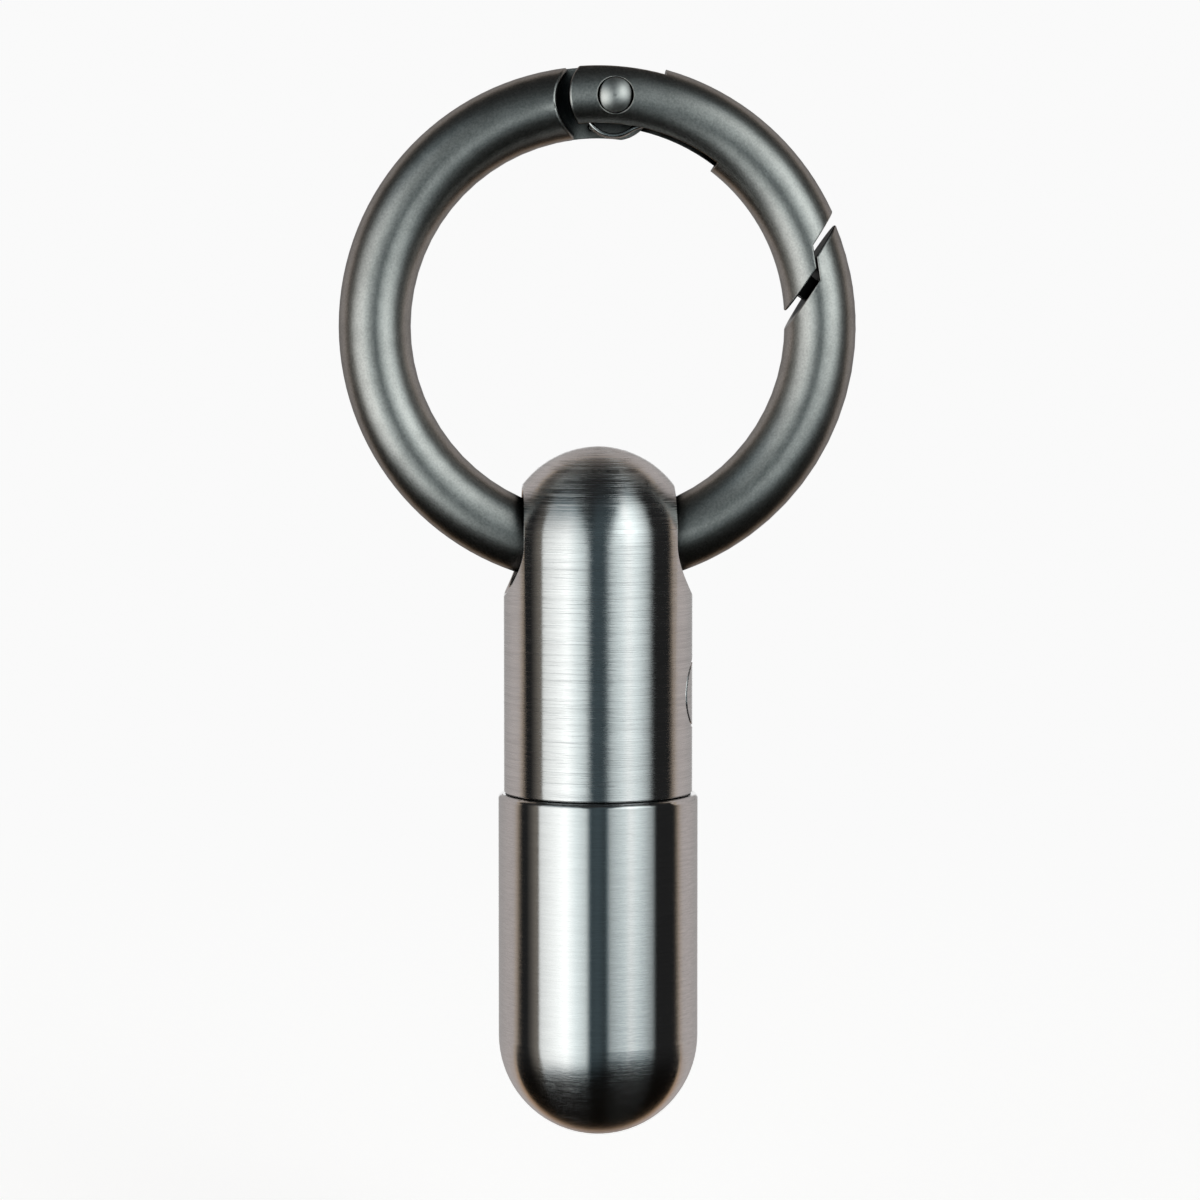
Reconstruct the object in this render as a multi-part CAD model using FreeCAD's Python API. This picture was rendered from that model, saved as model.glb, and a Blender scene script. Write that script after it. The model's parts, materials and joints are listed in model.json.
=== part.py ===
import FreeCAD, Part
import math
import os

# A pill fob on a spring-gate key ring, hanging at rest.
# Units are millimetres. The origin is the middle of the ring, +Z is up, +X is the gate's
# side and -Y is the front. Front-view points are given as (x, z).

V = FreeCAD.Vector
FRONT_TO_BACK = V(0, 1, 0)

# Ring
RING_BORE = 25.0            # clear opening of the ring
RING_WIRE = 4.8             # thickness of the ring's round bar
GATE_LIFT = 0.38            # how far the gate's bow stands up from the ring's own bow

# Hinge of the gate
HINGE_ANGLE = 86.0          # place of the rivet round the ring, from +X towards +Z
HEEL_MARGIN = 0.67          # rounded heel of the gate, past the bar's own radius
SCOOP_MARGIN = 0.3          # hollow in the ring's end, past the bar's own radius
HEEL_GAP = 0.85             # between the heel and the hollow
SLOT_WIDTH = 2.75           # slot through the gate that takes the tongue
SLOT_CLEARANCE = 0.85       # round the tongue's end
SLOT_LENGTH = 3.35          # slot on the outside of the gate, from the rivet
CHANNEL_WIDTH = 3.1         # open channel along the inside of the gate
CHANNEL_DEPTH = 1.1
CHANNEL_END_ANGLE = 53.0
TONGUE_THICKNESS = 0.85
TONGUE_RADIUS = 2.85        # rounded end of the tongue, about the rivet
HINGE_ROUND = 0.18          # rounding of the heel and the hollow where they meet the bar
TONGUE_PLAY = 0.1           # between the tongue's back and the slot

# Rivet
SHANK_DIAMETER = 1.8
SHANK_FIT = 0.01            # radial, shank in the tongue
SHANK_RUNNING = 0.04        # radial, gate on the shank
CHEEK_THICKNESS = 0.65      # gate's cheek under a rivet head
HEAD_DIAMETER = 2.3
HEAD_EDGE = 0.12            # straight edge under the dome of a head
HEAD_DOME = 0.42
HEAD_PLAY = 0.04            # between a head and its seat
SEAT_MARGIN = 0.06          # seat round a head

# Gate spring
SPRING_WIRE = 0.3
SPRING_RADIUS = 1.85        # to the middle of the wire
SPRING_PITCH = 0.73
SPRING_TURNS = 1.2
SPRING_PLAY = 0.04          # to the cheek, the shank and the channel's roof
SPRING_BEND = 0.36          # bend from the tang to the coil
TANG_DEPTH = 0.6            # how far the tang goes into the tongue
TANG_CLEARANCE = 0.06
LEG_RISE = 33.5             # direction in which the leg leaves the coil
LEG_FALL = 19.5             # direction of the leg's straight end
LEG_BEND = 2.2
LEG_LENGTH = 1.5            # straight end of the leg

# Nose, where the gate laps the ring
NOSE_ANGLE = 16.5           # place of the gate's lap round the ring
NOSE_DRAFT = 5.5            # slanted faces against the path of the gate's tip
LAP_LENGTH = 1.55
LAP_TILT = 7.5              # lap face against the bow
LAP_GAP = 0.1
SLANT_GAP = 0.6
TENON_THICKNESS = 1.6
TENON_HEIGHT = 1.5
TENON_REACH = 0.5           # into the gate's slot
TENON_CLEARANCE = 0.2
NOSE_ROUND = 0.09           # rounding of the end faces where they meet the bar

# Fob
CAP_DIAMETER = 12.7
CAP_LENGTH = 23.27
EYE_CLEARANCE = 0.12        # between the bar and the eye's top, at its mouths
EYE_PLAY = 0.58             # under the bar
EYE_BRIDGE = 2.73           # metal over the eye
EYE_EDGE = 0.15             # rounding of the eye's mouths
SHOULDER_EDGE = 0.1
RIM_STEP = 0.38             # the cup is this much larger all round
RIM_GAP = 0.08              # line between the cap and the cup
RIM_ROUND = 0.3
CUP_LENGTH = 23.1
CUP_WALL = 1.85

# Side mark, a bare engraved circle
MARK_DIAMETER = 4.5
MARK_LINE = 0.3
MARK_DEPTH = 0.06
MARK_TURN = 4.5             # degrees, from +X towards the front

# Neck and thread
SHOULDER_WIDTH = 1.1
NECK_PLAIN = 1.6            # unthreaded neck under the shoulder
NECK_WALL = 0.8
NECK_EDGE = 0.2
POCKET_WEB = 2.0            # metal between the eye and the cap's pocket
POCKET_ROUND = 1.0
THREAD_PITCH = 1.25
THREAD_DEPTH = 0.5
THREAD_TURNS = 3.5
THREAD_FLANK = 24.0
THREAD_PLAY = 0.14          # along the axis, at half depth
THREAD_CLEARANCE = 0.1      # radial
THREAD_MARGIN = 0.15        # plain neck past each end of the thread
THREAD_SUNK = 0.1           # root of the ridge, inside its wall

# Seal
SEAL_SECTION = 0.9
SEAL_PLAY = 0.05

# Worked out from the sizes above
bar = RING_WIRE / 2
bow = RING_BORE / 2 + bar
far = 3 * bow
heel = bar + HEEL_MARGIN
scoop = bar + SCOOP_MARGIN
slot = SLOT_WIDTH / 2
tongue_back = slot - TONGUE_PLAY
tongue_front = tongue_back - TONGUE_THICKNESS
shank = SHANK_DIAMETER / 2
seat = slot + CHEEK_THICKNESS
cap_radius = CAP_DIAMETER / 2
cup_radius = cap_radius + RIM_STEP
neck = cap_radius - SHOULDER_WIDTH
neck_root = neck - THREAD_DEPTH
thread_lean = THREAD_DEPTH / 2 * math.tan(math.radians(THREAD_FLANK))
thread_crest = THREAD_PITCH / 2 - THREAD_PLAY - 2 * thread_lean
thread_base = THREAD_PITCH / 2 - THREAD_PLAY + 2 * thread_lean
neck_length = NECK_PLAIN + thread_base + 2 * THREAD_MARGIN + THREAD_PITCH * THREAD_TURNS
cup_bore = cup_radius - CUP_WALL
thread_bore = neck + THREAD_CLEARANCE

# Heights of the fob: the eye spans the bar over the whole width of the cap
bow_cosine = math.sqrt(bow ** 2 - cap_radius ** 2) / bow
eye_low = -bow - bar - EYE_PLAY
eye_high = -bow * bow_cosine + bar / bow_cosine + EYE_CLEARANCE
eye_radius = (eye_high - eye_low) / 2
eye_z = (eye_high + eye_low) / 2
cap_top = eye_high + EYE_BRIDGE
shoulder_z = cap_top - CAP_LENGTH
neck_end_z = shoulder_z - neck_length
thread_low_z = neck_end_z + THREAD_MARGIN + thread_base / 2
rim_z = shoulder_z - RIM_GAP
cup_end_z = rim_z - CUP_LENGTH


def polar(radius, degrees, lift=0.0):
    """Front-view point on a bow about the ring's middle, or about the gate's own."""
    turn = math.radians(degrees)
    return (radius * math.cos(turn), radius * math.sin(turn) + lift)


def heading(degrees):
    """Front-view direction."""
    return polar(1.0, degrees)


def moved(point, direction, distance):
    return (point[0] + direction[0] * distance, point[1] + direction[1] * distance)


def at(point, y):
    return V(point[0], y, point[1])


def prism(points, y_front, y_back):
    """Front-view polygon, from y_front back to y_back."""
    corners = [at(p, y_front) for p in points]
    face = Part.Face(Part.makePolygon(corners + corners[:1]))
    return face.extrude(V(0, y_back - y_front, 0))


def disc(centre, radius, y_front, y_back):
    """Round bar along Y about a front-view point."""
    return Part.makeCylinder(radius, y_back - y_front, at(centre, y_front), FRONT_TO_BACK)


def turned(edges):
    """Solid of revolution about Z from the edges of a closed profile in the XZ plane."""
    face = Part.Face(Part.Wire(edges))
    return face.revolve(V(0, 0, 0), V(0, 0, 1), 360)


def line(start, end):
    return Part.LineSegment(at(start, 0), at(end, 0)).toShape()


def arc(start, middle, end):
    return Part.Arc(at(start, 0), at(middle, 0), at(end, 0)).toShape()


def path(points):
    """Straight edges through front-view points."""
    return [line(a, b) for a, b in zip(points, points[1:])]


rivet = polar(bow, HINGE_ANGLE, GATE_LIFT)
inwards = heading(HINGE_ANGLE + 180)
along = heading(HINGE_ANGLE + 90)
scoop_centre = moved(polar(bow, HINGE_ANGLE), along, heel + HEEL_GAP - scoop)

# Nose: the slanted faces follow the path of the gate's tip, which turns clockwise about the rivet
nose = polar(bow, NOSE_ANGLE, GATE_LIFT)
path_angle = math.degrees(math.atan2(rivet[0] - nose[0], nose[1] - rivet[1]))
slant = heading(path_angle + NOSE_DRAFT)
towards_gate = heading(path_angle + NOSE_DRAFT - 90)
lap = heading(NOSE_ANGLE - 90 - LAP_TILT)
lap_outwards = heading(NOSE_ANGLE - LAP_TILT)


def nose_line(lap_middle):
    """Stepped line across the bar: slanted face, lap, slanted face, from the outside inwards."""
    upper = moved(lap_middle, lap, -LAP_LENGTH / 2)
    lower = moved(lap_middle, lap, LAP_LENGTH / 2)
    return [moved(upper, slant, -bow), upper, lower, moved(lower, slant, bow)]


def across(a, b):
    return a[0] * b[0] + a[1] * b[1]


# The ring's lap stands off the gate's by both gaps
lap_shift = (SLANT_GAP + LAP_GAP * across(lap_outwards, towards_gate)) / -across(lap, towards_gate)
ring_lap = moved(moved(nose, lap_outwards, LAP_GAP), lap, lap_shift)
gate_nose = nose_line(nose)
ring_nose = nose_line(ring_lap)


def gate_sector(nose_points, hinge_point, y_front, y_back):
    """Everything between a nose line and the radius through a point of the hinge."""
    hinge_angle = math.degrees(math.atan2(hinge_point[1], hinge_point[0]))
    outside = [polar(far, hinge_angle), polar(2 * far, (hinge_angle + NOSE_ANGLE) / 2)]
    outside.append(polar(far, NOSE_ANGLE))
    return prism(nose_points + [(0, 0)] + outside, y_front, y_back)


def tenon_block(height_from, height_to, reach_from, reach_to, thickness):
    """Block on the ring's lower slanted face, or the room for it in the gate."""
    corner = ring_nose[2]
    points = []
    for height, reach in ((height_from, reach_from), (height_to, reach_from),
                          (height_to, reach_to), (height_from, reach_to)):
        points.append(moved(moved(corner, slant, height), towards_gate, reach))
    return prism(points, -thickness / 2, thickness / 2)


def rounded(shape, size, is_end):
    """Rounds the edges where the bar's surface meets the end faces that is_end picks out."""
    edges = []
    for edge in shape.Edges:
        surfaces = [face.Surface for face in shape.ancestorsOfType(edge, Part.Face)]
        on_bar = any(isinstance(surface, Part.Toroid) for surface in surfaces)
        if on_bar and any(is_end(surface, edge.CenterOfMass) for surface in surfaces):
            edges.append(edge)
    return shape.makeFillet(size, edges)


def at_nose(surface, place):
    """Whether a face at a place is a flat one at the nose."""
    close = math.hypot(place.x - nose[0], place.z - nose[1]) < RING_WIRE
    return close and isinstance(surface, Part.Plane)


def at_hinge(surface, place):
    """Whether a face at a place is the gate's heel or the hollow in the ring's end."""
    close = math.hypot(place.x - rivet[0], place.z - rivet[1]) < RING_WIRE
    if not close or not isinstance(surface, Part.Cylinder):
        return False
    return math.isclose(surface.Radius, heel) or math.isclose(surface.Radius, scoop)


def make_ring_body():
    """Open ring with a tongue at the hinge and a lip and tenon at the nose."""
    body = Part.makeTorus(bow, bar, V(0, 0, 0), FRONT_TO_BACK)
    for y_front, y_back in ((-far, tongue_front), (tongue_back, far)):
        body = body.cut(gate_sector(ring_nose, scoop_centre, y_front, y_back))
        body = body.cut(disc(scoop_centre, scoop, y_front, y_back))
    beyond_tongue = gate_sector(ring_nose, rivet, tongue_front, tongue_back)
    body = body.cut(beyond_tongue.cut(disc(rivet, TONGUE_RADIUS, tongue_front, tongue_back)))
    body = body.fuse(tenon_block(0, TENON_HEIGHT, -bar / 4, SLANT_GAP + TENON_REACH, TENON_THICKNESS))
    body = body.cut(disc(rivet, shank + SHANK_FIT, -far, far))
    hole = SPRING_WIRE / 2 + TANG_CLEARANCE
    tang_end = tongue_front + TANG_DEPTH + TANG_CLEARANCE
    body = body.cut(disc(tang, hole, tongue_front - SPRING_WIRE, tang_end))
    body = rounded(body, HINGE_ROUND, at_hinge)
    return rounded(body, NOSE_ROUND, at_nose)


def make_gate():
    """Bowed gate: round heel and cheeks at the rivet, open channel, stepped nose."""
    gate = Part.makeTorus(bow, bar, V(0, 0, GATE_LIFT), FRONT_TO_BACK)
    room = gate_sector(gate_nose, rivet, -bow, bow).fuse(disc(rivet, heel, -bow, bow))
    gate = gate.common(room)
    gate = gate.cut(disc(rivet, TONGUE_RADIUS + SLOT_CLEARANCE, -slot, slot))
    slot_end = moved(rivet, along, -SLOT_LENGTH)
    outside = [moved(point, inwards, -far) for point in (slot_end, rivet)]
    gate = gate.cut(prism([rivet, slot_end] + outside, -slot, slot))
    channel = CHANNEL_WIDTH / 2
    roof = RING_BORE / 2 + CHANNEL_DEPTH
    half = polar(far, CHANNEL_END_ANGLE, GATE_LIFT)
    corners = [(0, GATE_LIFT), half, (0, far + GATE_LIFT), (-far, far), (-far, GATE_LIFT)]
    opened = disc((0, GATE_LIFT), roof, -channel, channel).common(prism(corners, -channel, channel))
    gate = gate.cut(opened)
    gate = gate.cut(disc(rivet, shank + SHANK_RUNNING, -far, far))
    for y_front, y_back in ((-far, -seat), (seat, far)):
        gate = gate.cut(disc(rivet, HEAD_DIAMETER / 2 + SEAT_MARGIN, y_front, y_back))
    tenon_room = tenon_block(-bow, TENON_HEIGHT + TENON_CLEARANCE, 0,
                             SLANT_GAP + TENON_REACH + TENON_CLEARANCE,
                             TENON_THICKNESS + 2 * TENON_CLEARANCE)
    gate = rounded(gate, HINGE_ROUND, at_hinge)
    return rounded(gate, NOSE_ROUND, at_nose).cut(tenon_room)


def make_hinge_rivet():
    """Shank with a domed head on each cheek of the gate."""
    head = HEAD_DIAMETER / 2
    under = seat + HEAD_PLAY
    edge = under + HEAD_EDGE
    top = edge + HEAD_DOME
    dome = (head ** 2 + HEAD_DOME ** 2) / (2 * HEAD_DOME)
    spread = math.asin(head / dome) / 2
    bulge = (dome * math.sin(spread), top - dome + dome * math.cos(spread))
    low = (bulge[0], -bulge[1])
    edges = path([(0, -top), (0, top)])
    edges.append(arc((0, top), bulge, (head, edge)))
    edges += path([(head, edge), (head, under), (shank, under),
                   (shank, -under), (head, -under), (head, -edge)])
    edges.append(arc((head, -edge), low, (0, -top)))
    pin = turned(edges)
    pin.rotate(V(0, 0, 0), V(1, 0, 0), -90)
    pin.translate(at(rivet, 0))
    return pin


# Spring: a tang in the tongue, a loose coil round the shank, and a leg under the channel's roof
coil = moved(rivet, inwards, SPRING_RADIUS - SPRING_WIRE / 2 - shank - SPRING_PLAY)
coil_front = -slot + SPRING_PLAY + SPRING_WIRE / 2
coil_back = coil_front + SPRING_PITCH * SPRING_TURNS
leave_angle = math.radians(LEG_RISE - 90)
start_angle = leave_angle - 2 * math.pi * SPRING_TURNS


def coil_point(turn):
    """Point of the coil's middle line and the direction there."""
    share = (turn - start_angle) / (leave_angle - start_angle)
    y = coil_back + (coil_front - coil_back) * share
    point = V(coil[0] + SPRING_RADIUS * math.cos(turn), y, coil[1] + SPRING_RADIUS * math.sin(turn))
    advance = -SPRING_PITCH / (2 * math.pi)
    direction = V(-SPRING_RADIUS * math.sin(turn), advance, SPRING_RADIUS * math.cos(turn))
    return point, direction.normalize()


def tangent_arc(start, corner, end):
    """Arc that leaves start towards corner and reaches end from it."""
    middle = (start + end) * 0.5
    cosine = start.distanceToPoint(end) / (2 * start.distanceToPoint(corner))
    top = middle + (corner - middle) * (cosine / (1 + cosine))
    return Part.Arc(start, top, end).toShape()


def biarc(start, start_way, end, end_way):
    """Two arcs, tangent to each other, between two points with given directions."""
    chord = end - start
    ways = start_way + end_way
    bend = 2 * (1 - start_way.dot(end_way))
    pull = chord.dot(ways)
    reach = (math.sqrt(pull ** 2 + bend * chord.dot(chord)) - pull) / bend
    first = start + start_way * reach
    second = end - end_way * reach
    join = (first + second) * 0.5
    return [tangent_arc(start, first, join), tangent_arc(join, second, end)]


coil_start, coil_way = coil_point(start_angle)
tang_point = coil_start - coil_way * SPRING_BEND
tang = (tang_point.x, tang_point.z)


def spring_path():
    """Edges of the spring's middle line, from the tang to the end of the leg."""
    forwards = V(0, -1, 0)
    bend_start = tang_point - forwards * SPRING_BEND
    tang_tip = at(tang, tongue_front + TANG_DEPTH)
    edges = [Part.LineSegment(tang_tip, bend_start).toShape()]
    edges += biarc(bend_start, forwards, coil_start, coil_way)
    quarters = math.ceil(4 * SPRING_TURNS)
    step = (leave_angle - start_angle) / quarters
    point, way = coil_start, coil_way
    for quarter in range(quarters):
        next_point, next_way = coil_point(start_angle + step * (quarter + 1))
        edges += biarc(point, way, next_point, next_way)
        point, way = next_point, next_way
    rise, fall = math.radians(LEG_RISE), math.radians(LEG_FALL)
    across_leg = LEG_BEND * (math.sin(rise) + math.sin(fall))
    up_leg = LEG_BEND * (math.cos(fall) - math.cos(rise))
    leg_start = point + V(across_leg, 0, up_leg)
    leg_way = V(math.cos(fall), 0, -math.sin(fall))
    edges += biarc(point, way, leg_start, leg_way)
    edges.append(Part.LineSegment(leg_start, leg_start + leg_way * LEG_LENGTH).toShape())
    return edges


def least_gap(middle_line, wire):
    """Least gap of a wire to itself, on points along its middle line."""
    spacing = wire / 4
    points = middle_line.discretize(Distance=spacing)
    skip = int(2 * math.pi * SPRING_RADIUS / 2 / spacing)
    nearest = far
    for index, point in enumerate(points):
        for other in points[index + skip:]:
            nearest = min(nearest, point.distanceToPoint(other))
    return nearest - wire


def make_gate_spring():
    """Round wire along the spring's path, as one tube."""
    middle_line = Part.Wire(spring_path())
    print("gate spring, least gap to itself: %.3f mm" % least_gap(middle_line, SPRING_WIRE))
    tang_tip = at(tang, tongue_front + TANG_DEPTH)
    section = Part.Wire(Part.makeCircle(SPRING_WIRE / 2, tang_tip, FRONT_TO_BACK))
    return middle_line.makePipeShell([section], True, False)


def thread_ridge(wall_radius, rise, low, turns):
    """Right-hand helical ridge that stands off a wall, outwards or inwards, from the height low."""
    outwards = math.copysign(1, rise)
    helix = Part.makeHelix(THREAD_PITCH, THREAD_PITCH * turns, wall_radius)
    helix.translate(V(0, 0, low))
    lean = (thread_base - thread_crest) / 2 / THREAD_DEPTH * THREAD_SUNK
    sunk = wall_radius - outwards * THREAD_SUNK
    base, crest = thread_base / 2 + lean, thread_crest / 2
    corners = [(sunk, low - base), (wall_radius + rise, low - crest),
               (wall_radius + rise, low + crest), (sunk, low + base)]
    profile = Part.Wire(path(corners + corners[:1]))
    return Part.Wire(helix.Edges).makePipeShell([profile], True, True)


def make_cap():
    """Domed upper half with the eye, the shoulder, the threaded neck and the pocket."""
    dome_z = cap_top - cap_radius
    pocket = neck_root - NECK_WALL
    ceiling = eye_z - eye_radius - POCKET_WEB
    slope = math.sqrt(0.5)
    edges = [arc((0, cap_top), (cap_radius * slope, dome_z + cap_radius * slope), (cap_radius, dome_z))]
    edges += path([(cap_radius, dome_z), (cap_radius, shoulder_z + SHOULDER_EDGE),
                   (cap_radius - SHOULDER_EDGE, shoulder_z), (neck, shoulder_z),
                   (neck, shoulder_z - NECK_PLAIN), (neck_root, shoulder_z - NECK_PLAIN),
                   (neck_root, neck_end_z + NECK_EDGE), (neck_root - NECK_EDGE, neck_end_z),
                   (pocket, neck_end_z), (pocket, ceiling - POCKET_ROUND)])
    bend = (pocket - POCKET_ROUND * (1 - slope), ceiling - POCKET_ROUND * (1 - slope))
    edges.append(arc((pocket, ceiling - POCKET_ROUND), bend, (pocket - POCKET_ROUND, ceiling)))
    edges += path([(pocket - POCKET_ROUND, ceiling), (0, ceiling), (0, cap_top)])
    cap = turned(edges)
    eye = Part.makeCylinder(eye_radius, 4 * cap_radius, V(-2 * cap_radius, 0, eye_z), V(1, 0, 0))
    cap = cap.cut(eye)
    mouths = [e for e in cap.Edges if on_eye(e)]
    cap = cap.makeFillet(EYE_EDGE, mouths)
    cap = cap.cut(side_mark((eye_z - eye_radius + shoulder_z) / 2))
    return cap.fuse(thread_ridge(neck_root, THREAD_DEPTH, thread_low_z, THREAD_TURNS))


def on_eye(edge):
    """Whether an edge lies on the eye's wall."""
    if edge.Degenerated:
        return False
    tolerance = 1e-4
    points = edge.discretize(Number=5)
    return all(abs(math.hypot(p.y, p.z - eye_z) - eye_radius) < tolerance for p in points)


def side_mark(z):
    """Shallow circular groove that follows the cap's side."""
    middle = V(0, 0, z)
    turn = math.radians(MARK_TURN)
    sideways = V(math.cos(turn), -math.sin(turn), 0)
    outer = Part.makeCylinder((MARK_DIAMETER + MARK_LINE) / 2, far, middle, sideways)
    inner = Part.makeCylinder((MARK_DIAMETER - MARK_LINE) / 2, far, middle, sideways)
    core = Part.makeCylinder(cap_radius - MARK_DEPTH, 2 * far, V(0, 0, z - far))
    return outer.cut(inner).cut(core)


def make_seal_ring():
    """Round rubber ring in the cup's rim, against the shoulder."""
    section = SEAL_SECTION / 2
    return Part.makeTorus(neck + SEAL_PLAY + section, section, V(0, 0, shoulder_z - SEAL_PLAY - section))


def make_cup():
    """Round-ended lower half with the seal's seat, the thread and the cavity."""
    dome_z = cup_end_z + cup_radius
    slope = math.sqrt(0.5)
    seal_seat = neck + 2 * SEAL_PLAY + SEAL_SECTION
    seat_z = shoulder_z - 2 * SEAL_PLAY - SEAL_SECTION
    thread_end_z = neck_end_z - 2 * THREAD_MARGIN
    bevel = thread_bore - cup_bore
    round_in = RIM_ROUND * (1 - slope)
    edges = [arc((0, cup_end_z), (cup_radius * slope, dome_z - cup_radius * slope), (cup_radius, dome_z))]
    edges += path([(cup_radius, dome_z), (cup_radius, rim_z - RIM_ROUND)])
    edges.append(arc((cup_radius, rim_z - RIM_ROUND), (cup_radius - round_in, rim_z - round_in),
                     (cup_radius - RIM_ROUND, rim_z)))
    edges += path([(cup_radius - RIM_ROUND, rim_z), (seal_seat, rim_z), (seal_seat, seat_z),
                   (thread_bore, seat_z), (thread_bore, thread_end_z), (cup_bore, thread_end_z - bevel),
                   (cup_bore, dome_z)])
    bowl = (cup_bore * slope, dome_z - cup_bore * slope)
    edges.append(arc((cup_bore, dome_z), bowl, (0, dome_z - cup_bore)))
    edges += path([(0, dome_z - cup_bore), (0, cup_end_z)])
    cup = turned(edges)
    ridge_low = thread_low_z + THREAD_PITCH / 2
    return cup.fuse(thread_ridge(thread_bore, -THREAD_DEPTH, ridge_low, THREAD_TURNS - 1))


pieces = {
    "ring_body": make_ring_body,
    "gate": make_gate,
    "hinge_rivet": make_hinge_rivet,
    "gate_spring": make_gate_spring,
    "cap": make_cap,
    "seal_ring": make_seal_ring,
    "cup": make_cup,
}

os.makedirs("parts", exist_ok=True)
for name, make in pieces.items():
    shape = make()
    solid = shape.Solids[0]
    print(name, len(shape.Solids), "solid", solid.isValid(), "volume %.2f" % solid.Volume)
    solid.exportStep("parts/%s.step" % name)
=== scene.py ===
import bpy
import json
import math
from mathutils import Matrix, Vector

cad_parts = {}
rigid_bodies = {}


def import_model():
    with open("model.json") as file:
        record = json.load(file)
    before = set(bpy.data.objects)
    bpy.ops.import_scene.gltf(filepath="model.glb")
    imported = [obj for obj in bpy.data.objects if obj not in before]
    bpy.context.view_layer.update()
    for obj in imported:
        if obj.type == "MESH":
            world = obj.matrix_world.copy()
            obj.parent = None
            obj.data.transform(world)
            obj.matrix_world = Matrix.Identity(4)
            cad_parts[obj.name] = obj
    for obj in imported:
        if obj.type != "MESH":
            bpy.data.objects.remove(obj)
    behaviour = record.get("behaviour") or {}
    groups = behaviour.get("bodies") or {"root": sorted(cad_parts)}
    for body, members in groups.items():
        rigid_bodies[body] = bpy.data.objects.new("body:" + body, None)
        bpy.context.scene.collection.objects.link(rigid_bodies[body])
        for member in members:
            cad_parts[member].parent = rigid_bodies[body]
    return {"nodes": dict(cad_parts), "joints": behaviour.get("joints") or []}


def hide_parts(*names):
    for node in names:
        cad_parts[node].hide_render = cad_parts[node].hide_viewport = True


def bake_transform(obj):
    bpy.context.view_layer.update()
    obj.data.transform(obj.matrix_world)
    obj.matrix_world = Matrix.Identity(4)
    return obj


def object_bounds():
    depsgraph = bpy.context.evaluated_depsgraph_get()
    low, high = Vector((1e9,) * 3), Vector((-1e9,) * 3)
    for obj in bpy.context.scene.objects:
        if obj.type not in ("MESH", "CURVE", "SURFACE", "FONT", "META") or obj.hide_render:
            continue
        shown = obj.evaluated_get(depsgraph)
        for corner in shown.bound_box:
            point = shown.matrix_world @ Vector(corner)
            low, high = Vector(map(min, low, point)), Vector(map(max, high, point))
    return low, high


# Looks of a steel pill fob on a spring-gate key ring.
# Units are metres in the frame of the model: +Z up, +X the gate's side, -Y the front.

for leftover in list(bpy.data.objects):
    bpy.data.objects.remove(leftover)

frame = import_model()
cad_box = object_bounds()
nodes = frame["nodes"]
joints = {joint["name"]: joint for joint in frame["joints"]}

MM = 0.001
NEUTRAL = (1.0, 1.0, 1.0)          # tint that changes nothing

# Values of the camera
IMAGE_SIZE = 1200                  # pixels, the picture is square
CAMERA_DISTANCE = 0.240
CAMERA_AZIMUTH = -3.0              # degrees, to the left of the front
CAMERA_ELEVATION = 3.7             # degrees
CAMERA_SCALE = 14885.0             # pixels to the metre at the target
CAMERA_CLIP = (0.01, 20.0)
SENSOR_WIDTH = 36.0                # millimetres
TARGET = Vector((0.13 * MM, 0.0, -18.3 * MM))

# Values of the white background and the floor
WHITE = (0.955, 0.955, 0.955)
BACKDROP_EDGE = (0.955, 0.985)     # backward part of a direction over which mirrors come to show the white
FLOOR_GAP = 12 * MM                # floor under the lowest point, clear of the unscrewed cup
FLOOR_RADIUS = 3.0
FLOOR_SIDES = 96
FLOOR_FADE = (0.05, 0.30)          # distances at which the lit floor fades into the white
FLOOR_LIFT = 0.76                  # added for the camera alone, so that the lit floor looks white
PAPER_DARK = (0.90, 0.90, 0.90)
PAPER_PALE = (0.94, 0.94, 0.94)
PAPER_GRAIN = 900.0                # features to the metre

# Values of the surround that the metal reflects
PINK_GREY = (0.475, 0.432, 0.418)  # pale surround behind the object
REAR_GREY = (0.32, 0.312, 0.308)   # the same, straight behind
TAN = (0.40, 0.32, 0.245)          # warm edge of the surround
DARK = (0.004, 0.0042, 0.0045)     # unlit front of the studio
# From the dark front to the surround, by how far behind the object a direction points
SURROUND = (
    (0.10, DARK), (0.16, TAN), (0.19, TAN),
    (0.27, PINK_GREY), (0.50, PINK_GREY), (1.0, REAR_GREY),
)
SURROUND_ABOVE = 0.45              # the dark reaches further back above the object
SURROUND_BELOW = 0.78              # and below it
GROUND_TINT = (1.0, 0.76, 0.54)    # the surround is warmer near the ground
GROUND_EDGE = (-0.25, -0.70)       # heights of a direction between which that comes in
GROUND_FADE = (0.55, 0.25)         # and how far behind the object it does
FRONT_LIGHT = 0.015                # dim light from the front of the studio
FRONT_EDGE = (-35.0, -8.0)         # degrees of elevation between which it comes in

# Values of the two light panels
COOL = (0.89, 0.985, 0.985)
PLAIN = (0.97, 1.0, 0.985)
WARM = (1.0, 0.90, 0.77)
ICE = (0.60, 0.86, 1.0)            # further tint where a panel is dim
ICE_SHARE = 0.6                    # below this share of the panel's light
# Light over the azimuth: degrees from the camera's side, strength, tint
LEFT_PANEL = (
    (-90, 0.0, WARM), (-84, 0.07, WARM), (-76, 0.20, WARM), (-73, 0.16, WARM),
    (-71, 1.0, PLAIN), (-52, 1.42, PLAIN), (-38, 1.75, PLAIN),
    (-25, 1.26, COOL), (-14, 0.88, COOL), (0, 0.70, COOL), (10, 0.0, COOL),
)
RIGHT_PANEL = (
    (-10, 0.0, COOL), (0, 0.67, COOL), (13, 0.92, COOL), (30, 1.46, COOL), (38, 1.79, PLAIN),
    (46, 1.57, COOL), (55, 1.16, COOL), (65, 0.59, COOL), (70, 0.0, COOL),
)
PANEL_SPAN = 180.0                 # degrees of azimuth on a panel's ramp, the camera's side in its middle
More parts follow.
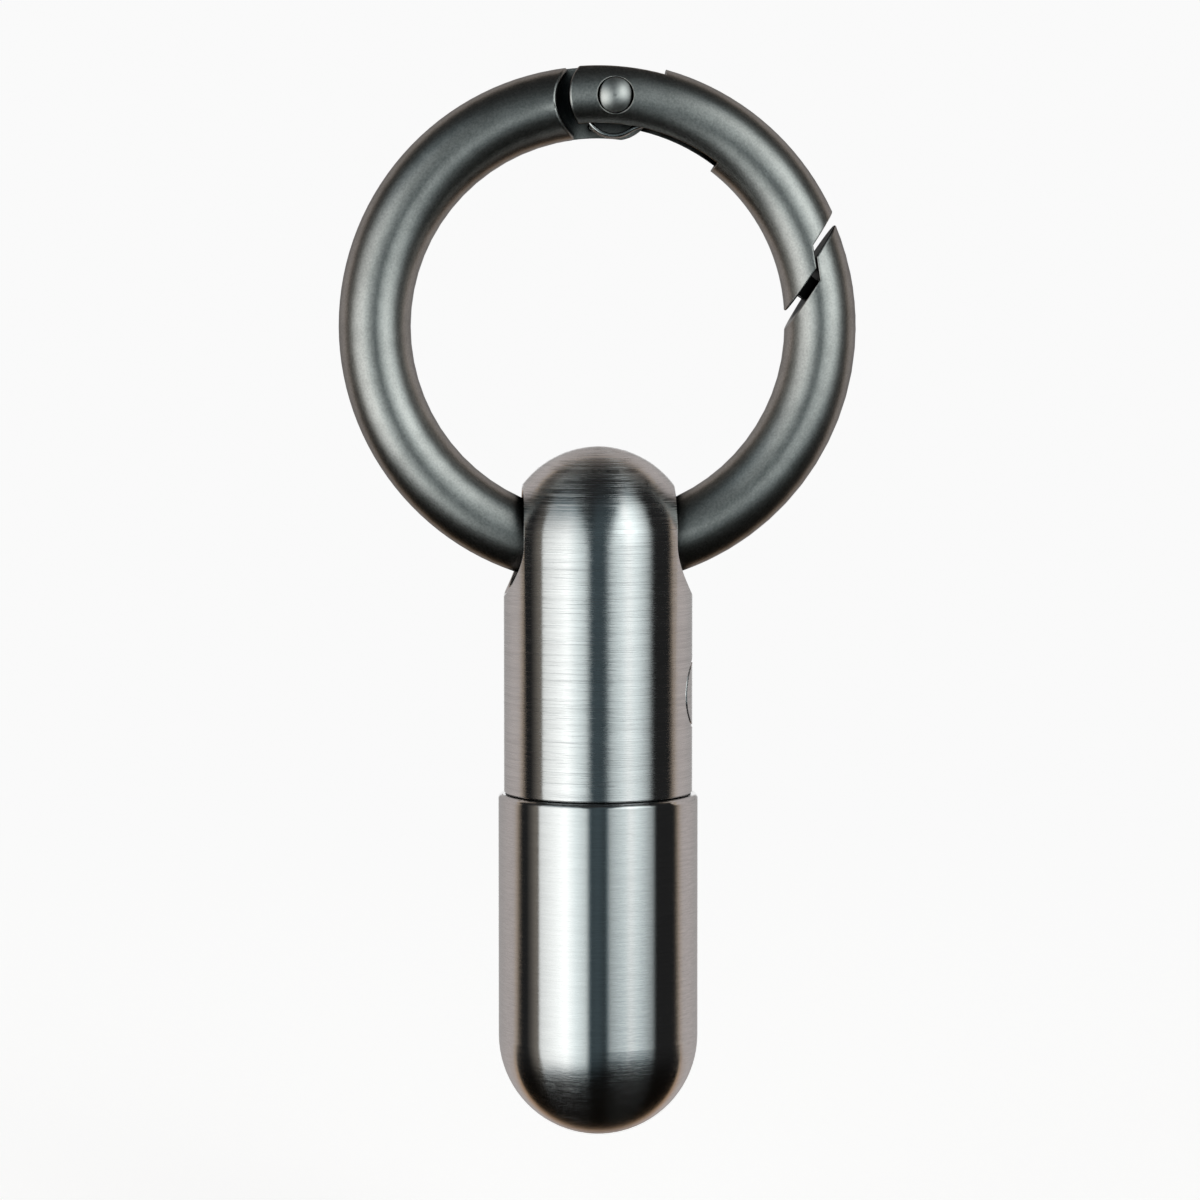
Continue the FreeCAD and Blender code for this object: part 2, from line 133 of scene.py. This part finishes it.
# Soft lower and upper edges of the panels, degrees of elevation: the right one stands higher
LEFT_EDGES = ((-38.0, -21.0), (-14.0, 58.0))
RIGHT_EDGES = ((-25.0, 4.0), (25.0, 68.0))
STRIP_EDGE = (0.13, 0.25)          # dark strip between the panels, by the sideways part of a direction
STRIP_SPREAD = 0.35                # how much the strip widens upwards
STRIP_LIGHT = 0.075                # share of the panels' light left in it

# Values of the brushing on turned steel
# Layers of lines: features to a line's length and to its width, detail and roughness of the noise
FINE_LINES = (1.0, 1.0, 3.0, 0.65)
SHORT_LINES = (4.0, 1.6, 2.0, 0.5)
BROAD_LINES = (0.4, 0.3, 2.0, 0.5)
SHORT_SHARE = 0.4                  # of the short lines beside the fine ones
BROAD_SHARE = 0.2                  # of the broad lines in the colour
LINE_TONES = (0.35, 0.65)          # noise from the dull tone to the bright one
LINE_GLOSS = (0.40, 0.68)          # noise from the least roughness to the most
LINE_BUMP = 0.35                   # strength of the relief
LINE_STRETCH = 1.0                 # how much the lines draw out a reflection
LINE_TURN = 0.25                   # of a full turn, so that it is drawn out across the lines

# Values of the dark plating
PLATE_GRAIN = 7000.0               # features to the metre
PLATE_CLOUD = 600.0
CLOUD_SHARE = 0.3                  # of the clouds beside the grain
PLATE_TONES = (0.3, 0.7)           # noise from the dull tone to the bright one
PLATE_GLOSS = (0.25, 0.75)         # noise from the least roughness to the most
PLATE_RANGE = (0.95, 1.08)         # least and most, as shares of the roughness
PLATE_BUMP = 0.2                   # strength of the relief
PLATE_TINT = (0.60, 0.60, 0.60)    # tint of reflections at a flat angle
EDGE_RADIUS = 0.1 * MM             # edges are found, and softened, by this rounding
EDGE_SAMPLES = 6
EDGE_LEAN = (0.97, 0.80)           # cosine of soft to sharp surface, from no edge to a full one
EDGE_OPEN = (0.3, 0.6)             # open air over which the rubbing comes in
RUBBED = (0.60, 0.58, 0.53)
RUBBED_SHARE = 0.6
# Painted shade: where other surfaces come near, in gaps and beside other parts, the plating is made black
# and its reflections dark
GAP_REACH = 2.0 * MM               # surfaces nearer than this close off the open air
GAP_SAMPLES = 16
GAP_OPEN = (0.5, 0.95)             # open air from the painted black shade of a gap to plain plating
GAP_PAINTED_SHADE = (0.010, 0.010, 0.010)
GAP_PAINTED_SHADE_TINT = (0.05, 0.05, 0.05)      # tint of reflections there, painted shade

# Values of the grain on wire and rubber
GRAIN_GLOSS = (0.2, 0.8)           # noise from the least roughness to the most
GRAIN_DEPTH = 0.02 * MM

# Values of the gate spring
SPRING_WIRE = 0.3 * MM             # diameter
SPRING_RADIUS = 1.85 * MM          # of the coil's middle line
SPRING_PITCH = 0.73 * MM
SPRING_TURNS = 1.2
SPRING_FRONT = -1.185 * MM         # y of the coil's front end
SPRING_OFFSET = 0.76 * MM          # coil's middle from the rivet, towards the ring's middle
TANG_BEND = 0.36 * MM              # reach of the bend from the coil into the tang
TANG_END = 1.025 * MM              # y of the tang's tip in the tongue
LEG_RISE = 33.5                    # degrees, slope at which the leg leaves the coil upwards
LEG_FALL = 19.5                    # degrees, slope at which it ends downwards
LEG_BEND = 2.2 * MM                # radius of the bend between them
LEG_LENGTH = 1.5 * MM              # straight end
COIL_STEPS = 60
TANG_STEPS = 8
LEG_STEPS = 12
WIRE_SIDES = 20


# Camera

def direction(azimuth, elevation):
    """Unit vector from the object; azimuth 0 is the front, 90 the gate's side."""
    a = math.radians(azimuth)
    e = math.radians(elevation)
    return Vector((math.sin(a) * math.cos(e), -math.cos(a) * math.cos(e), math.sin(e)))


def make_camera():
    data = bpy.data.cameras.new("camera")
    camera = bpy.data.objects.new("camera", data)
    bpy.context.scene.collection.objects.link(camera)
    back = direction(CAMERA_AZIMUTH, CAMERA_ELEVATION)
    camera.location = TARGET + back * CAMERA_DISTANCE
    camera.rotation_mode = "QUATERNION"
    camera.rotation_quaternion = (-back).to_track_quat("-Z", "Y")
    data.sensor_width = SENSOR_WIDTH
    data.lens = SENSOR_WIDTH * CAMERA_SCALE * CAMERA_DISTANCE / IMAGE_SIZE
    data.clip_start, data.clip_end = CAMERA_CLIP
    bpy.context.scene.camera = camera


# Node helpers

class Graph:
    """Small helper to write a node tree as nested calls."""

    # Sockets for colours on the mix node
    COLOUR_A = 6
    COLOUR_B = 7
    COLOUR_OUT = 2

    def __init__(self, tree):
        self.tree = tree
        tree.nodes.clear()

    def node(self, kind, settings=None, **inputs):
        """New node with its settings, and its inputs linked or set by name."""
        made = self.tree.nodes.new(kind)
        for key, value in (settings or {}).items():
            setattr(made, key, value)
        for key, value in inputs.items():
            self.feed(made.inputs[key], value)
        return made

    def feed(self, socket, value):
        """Link another node's output to a socket, or set the socket's own value."""
        if isinstance(value, bpy.types.NodeSocket):
            self.tree.links.new(value, socket)
        else:
            socket.default_value = value

    def math(self, operation, *values):
        """Number worked out from one or two numbers."""
        made = self.node("ShaderNodeMath", {"operation": operation})
        for socket, value in zip(made.inputs, values):
            self.feed(socket, value)
        return made.outputs[0]

    def blended(self, a, b, share):
        """Number a, with a share of it given over to number b."""
        return self.math("ADD", self.math("MULTIPLY", a, 1.0 - share), self.math("MULTIPLY", b, share))

    def span(self, value, low, high, to_low=0.0, to_high=1.0):
        """Smooth step from to_low at low to to_high at high."""
        made = self.node("ShaderNodeMapRange", {"interpolation_type": "SMOOTHSTEP"})
        for socket, number in zip(made.inputs, (value, low, high, to_low, to_high)):
            self.feed(socket, number)
        return made.outputs[0]

    def mix(self, share, a, b):
        """Colour a at share 0 and colour b at share 1."""
        made = self.node("ShaderNodeMix", {"data_type": "RGBA"})
        self.feed(made.inputs[0], share)
        self.feed(made.inputs[self.COLOUR_A], a)
        self.feed(made.inputs[self.COLOUR_B], b)
        return made.outputs[self.COLOUR_OUT]

    def ramp(self, value, stops):
        """Colour ramp through (place, colour) stops."""
        made = self.node("ShaderNodeValToRGB")
        points = made.color_ramp.elements
        while len(points) < len(stops):
            points.new(1.0)
        for point, (place, colour) in zip(points, stops):
            point.position = place
            point.color = rgba(colour)
        self.feed(made.inputs[0], value)
        return made.outputs[0]

    def scaled(self, colour, factor):
        """Colour times a number."""
        made = self.node("ShaderNodeVectorMath", {"operation": "SCALE"}, Scale=factor)
        self.feed(made.inputs[0], colour)
        return made.outputs[0]

    def combined(self, operation, a, b):
        """Two colours or vectors, channel by channel; a linked number counts for all channels."""
        made = self.node("ShaderNodeVectorMath", {"operation": operation})
        self.feed(made.inputs[0], a)
        self.feed(made.inputs[1], b)
        return made.outputs[0]

    def noise(self, coordinates, scale, detail, roughness=0.5):
        """Noise with so many features to the metre along x, y and z."""
        made = self.node("ShaderNodeTexNoise", Scale=1.0, Detail=detail, Roughness=roughness)
        self.feed(made.inputs["Vector"], self.combined("MULTIPLY", coordinates, scale))
        return made.outputs[0]


def rgba(colour):
    return (*colour, 1.0)


# Studio

def surround_light(g, y, z, elevation):
    """Pale surround behind the object, and the dim front, for a direction."""
    above = g.math("MULTIPLY", z, SURROUND_ABOVE)
    below = g.math("MULTIPLY", z, -SURROUND_BELOW)
    behind = g.math("SUBTRACT", y, g.math("MAXIMUM", above, below))
    near_ground = g.math("MULTIPLY", g.span(z, *GROUND_EDGE), g.span(behind, *GROUND_FADE))
    warmth = g.mix(near_ground, rgba(NEUTRAL), rgba(GROUND_TINT))
    surround = g.combined("MULTIPLY", g.ramp(behind, SURROUND), warmth)
    front = g.span(elevation, *FRONT_EDGE, 0.0, FRONT_LIGHT)
    return g.combined("ADD", surround, front)


def panel_light(g, profile, edges, azimuth, elevation, strip):
    """One panel over the azimuth, fading at its lower and upper edge and in the dark strip."""
    stops = []
    for angle, strength, tint in profile:
        stops.append((angle / PANEL_SPAN + 0.5, [strength * channel for channel in tint]))
    place = g.math("ADD", g.math("DIVIDE", azimuth, PANEL_SPAN), 0.5)
    low, high = edges
    rise = g.span(elevation, *low)
    fall = g.span(elevation, *high, 1.0, 0.0)
    share = g.math("MULTIPLY", strip, g.math("MULTIPLY", rise, fall))
    chill = g.mix(g.span(share, 0.0, ICE_SHARE), rgba(ICE), rgba(NEUTRAL))
    return g.combined("MULTIPLY", g.scaled(g.ramp(place, stops), share), chill)


def make_world():
    world = bpy.data.worlds.new("studio")
    bpy.context.scene.world = world
    world.use_nodes = True
    g = Graph(world.node_tree)
    ray = g.node("ShaderNodeTexCoord").outputs["Generated"]
    turn = -math.radians(CAMERA_AZIMUTH)
    turned = g.node("ShaderNodeVectorRotate", {"rotation_type": "Z_AXIS"}, Vector=ray, Angle=turn)
    x, y, z = g.node("ShaderNodeSeparateXYZ", Vector=turned.outputs[0]).outputs
    azimuth = g.math("DEGREES", g.math("ARCTAN2", x, g.math("MULTIPLY", y, -1.0)))
    elevation = g.math("DEGREES", g.math("ARCSINE", z))
    spread = g.math("MULTIPLY", g.math("MAXIMUM", z, 0.0), STRIP_SPREAD)
    sideways = g.math("SUBTRACT", g.math("ABSOLUTE", x), spread)
    strip = g.span(sideways, *STRIP_EDGE, STRIP_LIGHT, 1.0)
    studio = surround_light(g, y, z, elevation)
    for profile, edges in ((LEFT_PANEL, LEFT_EDGES), (RIGHT_PANEL, RIGHT_EDGES)):
        panel = panel_light(g, profile, edges, azimuth, elevation, strip)
        studio = g.combined("ADD", studio, panel)
    rays = g.node("ShaderNodeLightPath").outputs
    mirrored = g.math("MULTIPLY", rays["Is Glossy Ray"], g.span(y, *BACKDROP_EDGE))
    seen = g.math("MAXIMUM", rays["Is Camera Ray"], mirrored)
    colour = g.mix(seen, studio, rgba(WHITE))
    background = g.node("ShaderNodeBackground", Color=colour, Strength=1.0)
    g.node("ShaderNodeOutputWorld", Surface=background.outputs[0])


def floor_paper():
    """Pale paper that keeps the shadow, and further out fades into the white."""
    material = bpy.data.materials.new("pale_floor")
    material.use_nodes = True
    g = Graph(material.node_tree)
    place = g.node("ShaderNodeTexCoord").outputs["Object"]
    away = g.node("ShaderNodeVectorMath", {"operation": "LENGTH"})
    g.feed(away.inputs[0], place)
    grain = g.noise(place, (PAPER_GRAIN,) * 3, detail=3.0)
    paper = g.mix(grain, rgba(PAPER_DARK), rgba(PAPER_PALE))
    seen = g.node("ShaderNodeLightPath").outputs["Is Camera Ray"]
    lift = g.node("ShaderNodeEmission", Strength=g.math("MULTIPLY", seen, FLOOR_LIFT))
    lit = g.node("ShaderNodeAddShader")
    g.feed(lit.inputs[0], g.node("ShaderNodeBsdfDiffuse", Color=paper).outputs[0])
    g.feed(lit.inputs[1], lift.outputs[0])
    plain = g.node("ShaderNodeEmission", Color=rgba(WHITE), Strength=seen)
    faded = g.node("ShaderNodeMixShader")
    g.feed(faded.inputs[0], g.span(away.outputs["Value"], *FLOOR_FADE))
    g.feed(faded.inputs[1], lit.outputs[0])
    g.feed(faded.inputs[2], plain.outputs[0])
    g.node("ShaderNodeOutputMaterial", Surface=faded.outputs[0])
    return material


def make_floor():
    floor_z = cad_box[0].z - FLOOR_GAP
    bpy.ops.mesh.primitive_circle_add(vertices=FLOOR_SIDES, radius=FLOOR_RADIUS, fill_type="NGON",
                                      location=(0.0, 0.0, floor_z))
    floor = bpy.context.object
    floor.name = "floor"
    floor.visible_glossy = False
    floor.data.materials.append(floor_paper())


# Materials

def new_material(name, metallic=1.0):
    material = bpy.data.materials.new(name)
    material.use_nodes = True
    g = Graph(material.node_tree)
    shader = g.node("ShaderNodeBsdfPrincipled", Metallic=metallic)
    g.node("ShaderNodeOutputMaterial", Surface=shader.outputs[0])
    place = g.node("ShaderNodeTexCoord").outputs["Object"]
    return material, g, shader, place


def add_bump(g, shader, height, strength, depth, normal=None):
    bump = g.node("ShaderNodeBump", Strength=strength, Distance=depth, Height=height)
    if normal is not None:
        g.feed(bump.inputs["Normal"], normal)
    g.feed(shader.inputs["Normal"], bump.outputs[0])


def turned_steel(name, shine, contrast, line, length, depth, roughness):
    """Steel brushed round the fob's axis, in lines of the given width, length and depth."""
    material, g, shader, place = new_material(name)

    def layer(along, across, detail, noise_roughness):
        scale = (along / length, along / length, across / line)
        return g.noise(place, scale, detail, noise_roughness)

    lines = g.blended(layer(*FINE_LINES), layer(*SHORT_LINES), SHORT_SHARE)
    shade = g.blended(lines, layer(*BROAD_LINES), BROAD_SHARE)
    dull = [shine * (1.0 - contrast)] * 3
    bright = [shine * (1.0 + contrast)] * 3
    g.feed(shader.inputs["Base Color"], g.mix(g.span(shade, *LINE_TONES), rgba(dull), rgba(bright)))
    g.feed(shader.inputs["Roughness"], g.span(lines, *LINE_GLOSS, *roughness))
    g.feed(shader.inputs["Anisotropic"], LINE_STRETCH)
    g.feed(shader.inputs["Anisotropic Rotation"], LINE_TURN)
    tangent = g.node("ShaderNodeTangent", {"direction_type": "RADIAL", "axis": "Z"})
    g.feed(shader.inputs["Tangent"], tangent.outputs[0])
    add_bump(g, shader, lines, LINE_BUMP, depth)
    return material


def gunmetal(name, dull, bright, roughness, grain_depth):
    """Dark satin plating with a fine grain, rubbed brighter on its edges, with painted black shade in its
    gaps.
    """
    material, g, shader, place = new_material(name)
    grain = g.noise(place, (PLATE_GRAIN,) * 3, detail=3.0, roughness=0.65)
    cloud = g.noise(place, (PLATE_CLOUD,) * 3, detail=2.0)
    shade = g.blended(grain, cloud, CLOUD_SHARE)
    plate = g.mix(g.span(shade, *PLATE_TONES), rgba(dull), rgba(bright))
    soft = g.node("ShaderNodeBevel", {"samples": EDGE_SAMPLES}, Radius=EDGE_RADIUS).outputs[0]
    sharp = g.node("ShaderNodeNewGeometry").outputs["Normal"]
    facing = g.node("ShaderNodeVectorMath", {"operation": "DOT_PRODUCT"})
    g.feed(facing.inputs[0], soft)
    g.feed(facing.inputs[1], sharp)
    edge = g.span(facing.outputs["Value"], *EDGE_LEAN)
    occlusion = g.node("ShaderNodeAmbientOcclusion", {"samples": GAP_SAMPLES}, Distance=GAP_REACH)
    open_air = occlusion.outputs["AO"]
    rubbed = g.math("MULTIPLY", g.math("MULTIPLY", edge, g.span(open_air, *EDGE_OPEN)), RUBBED_SHARE)
    worn = g.mix(rubbed, plate, rgba(RUBBED))
    # painted shade: black colour and dark reflections where other surfaces close off the open air
    out_of_painted_shade = g.span(open_air, *GAP_OPEN)
    g.feed(shader.inputs["Base Color"], g.mix(out_of_painted_shade, rgba(GAP_PAINTED_SHADE), worn))
    g.feed(shader.inputs["Specular Tint"], g.mix(out_of_painted_shade, rgba(GAP_PAINTED_SHADE_TINT), rgba(PLATE_TINT)))
    least, most = [roughness * share for share in PLATE_RANGE]
    g.feed(shader.inputs["Roughness"], g.span(grain, *PLATE_GLOSS, least, most))
    add_bump(g, shader, grain, PLATE_BUMP, grain_depth, soft)
    return material


def grained(name, metallic, scale, detail, dark, pale, roughness, bump):
    """Material with a fine even grain in its colour, roughness and relief."""
    material, g, shader, place = new_material(name, metallic)
    grain = g.noise(place, (scale,) * 3, detail)
    g.feed(shader.inputs["Base Color"], g.mix(grain, rgba(dark), rgba(pale)))
    g.feed(shader.inputs["Roughness"], g.span(grain, *GRAIN_GLOSS, *roughness))
    add_bump(g, shader, grain, bump, GRAIN_DEPTH)
    return material


def ring_plating():
    """Plating of the ring and the gate."""
    return gunmetal("gunmetal", dull=(0.37, 0.368, 0.355), bright=(0.58, 0.577, 0.556),
                    roughness=0.34, grain_depth=0.02 * MM)


def rivet_plating_painted_highlight():
    """The same plating on the rivet, painted paler as a highlight for the brighter light its dome catches,
    and with a lower relief.
    """
    # painted highlight: paler tones than the ring's plating
    return gunmetal("rivet_gunmetal_painted_highlight", dull=(0.64, 0.64, 0.62), bright=(0.76, 0.76, 0.735),
                    roughness=0.42, grain_depth=0.006 * MM)


def cap_steel():
    """Steel with long brushing that shows."""
    return turned_steel("brushed_steel", shine=0.735, contrast=0.17, line=0.07 * MM, length=7 * MM,
                        depth=0.026 * MM, roughness=(0.13, 0.36))


def cup_steel():
    """Steel with very fine brushing, almost polished."""
    return turned_steel("polished_steel", shine=0.71, contrast=0.10, line=0.06 * MM, length=1.2 * MM,
                        depth=0.008 * MM, roughness=(0.15, 0.23))


def drawn_wire():
    """Bright wire of the spring."""
    return grained("spring_steel", metallic=1.0, scale=5000.0, detail=2.0, dark=(0.60, 0.60, 0.59),
                   pale=(0.80, 0.80, 0.79), roughness=(0.16, 0.28), bump=0.08)


def matt_rubber():
    """Black rubber of the seal."""
    return grained("seal_rubber", metallic=0.0, scale=6000.0, detail=3.0, dark=(0.010, 0.010, 0.010),
                   pale=(0.028, 0.027, 0.026), roughness=(0.5, 0.75), bump=0.2)


def paint(node, material):
    """Give a CAD node its material and leave its shape as it is."""
    mesh = nodes[node].data
    mesh.materials.clear()
    mesh.materials.append(material)


# Gate spring

def spring_points():
    """Middle line of the spring: tang, coil and leg."""
    rivet = Vector(joints["gate_swing"]["pos_m"])
    inwards = -Vector((rivet.x, 0.0, rivet.z)).normalized()
    middle = rivet + inwards * SPRING_OFFSET
    leave = math.radians(LEG_RISE - 90.0)
    turn = 2 * math.pi * SPRING_TURNS

    def coil(share):
        angle = leave - turn * (1.0 - share)
        x = middle.x + SPRING_RADIUS * math.cos(angle)
        y = SPRING_FRONT + SPRING_PITCH * SPRING_TURNS * (1.0 - share)
        z = middle.z + SPRING_RADIUS * math.sin(angle)
        return Vector((x, y, z))

    turns = [coil(step / COIL_STEPS) for step in range(COIL_STEPS + 1)]
    corner = turns[0] + (turns[0] - turns[1]).normalized() * TANG_BEND
    bend_start = corner + Vector((0.0, TANG_BEND, 0.0))
    points = [Vector((corner.x, TANG_END, corner.z))]
    for step in range(TANG_STEPS):
        share = step / TANG_STEPS
        first = bend_start.lerp(corner, share)
        points.append(first.lerp(corner.lerp(turns[0], share), share))
    points += turns
    rise = math.radians(LEG_RISE)
    fall = math.radians(LEG_FALL)
    for step in range(1, LEG_STEPS + 1):
        slope = rise - (rise + fall) * step / LEG_STEPS
        across = LEG_BEND * (math.sin(rise) - math.sin(slope))
        up = LEG_BEND * (math.cos(slope) - math.cos(rise))
        points.append(turns[-1] + Vector((across, 0.0, up)))
    leg_start = points[-1]
    points.append(leg_start + Vector((math.cos(fall), 0.0, -math.sin(fall))) * LEG_LENGTH)
    return points, leg_start


def tube(name, points, radius, sides):
    """Closed round tube along points."""
    verts = []
    faces = []
    tangents = []
    for index in range(len(points)):
        before = points[max(index - 1, 0)]
        after = points[min(index + 1, len(points) - 1)]
        tangents.append((after - before).normalized())
    side = tangents[0].orthogonal().normalized()
    for point, tangent in zip(points, tangents):
        side = (side - tangent * side.dot(tangent)).normalized()
        other = tangent.cross(side)
        for step in range(sides):
            angle = 2 * math.pi * step / sides
            verts.append(point + (side * math.cos(angle) + other * math.sin(angle)) * radius)
    for row in range(len(points) - 1):
        for step in range(sides):
            here = row * sides + step
            beside = row * sides + (step + 1) % sides
            faces.append((here, beside, beside + sides, here + sides))
    wall_count = len(faces)
    faces.append(tuple(reversed(range(sides))))
    faces.append(tuple(range(len(verts) - sides, len(verts))))
    mesh = bpy.data.meshes.new(name)
    mesh.from_pydata(verts, [], faces)
    mesh.polygons.foreach_set("use_smooth", [index < wall_count for index in range(len(faces))])
    piece = bpy.data.objects.new(name, mesh)
    bpy.context.scene.collection.objects.link(piece)
    return piece


def make_spring(material):
    """Spring of round wire along its tang, coil and leg, in place of the CAD spring."""
    points, leg_start = spring_points()
    spring = tube("hinge_spring", points, SPRING_WIRE / 2, WIRE_SIDES)
    spring.data.materials.append(material)
    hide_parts("gate_spring")
    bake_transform(spring)


make_camera()
make_world()
make_floor()

plating = ring_plating()
paint("ring_body", plating)
paint("gate", plating)
paint("hinge_rivet", rivet_plating_painted_highlight())
paint("cap", cap_steel())
paint("cup", cup_steel())
paint("seal_ring", matt_rubber())
make_spring(drawn_wire())

bpy.context.scene.view_settings.view_transform = "Standard"
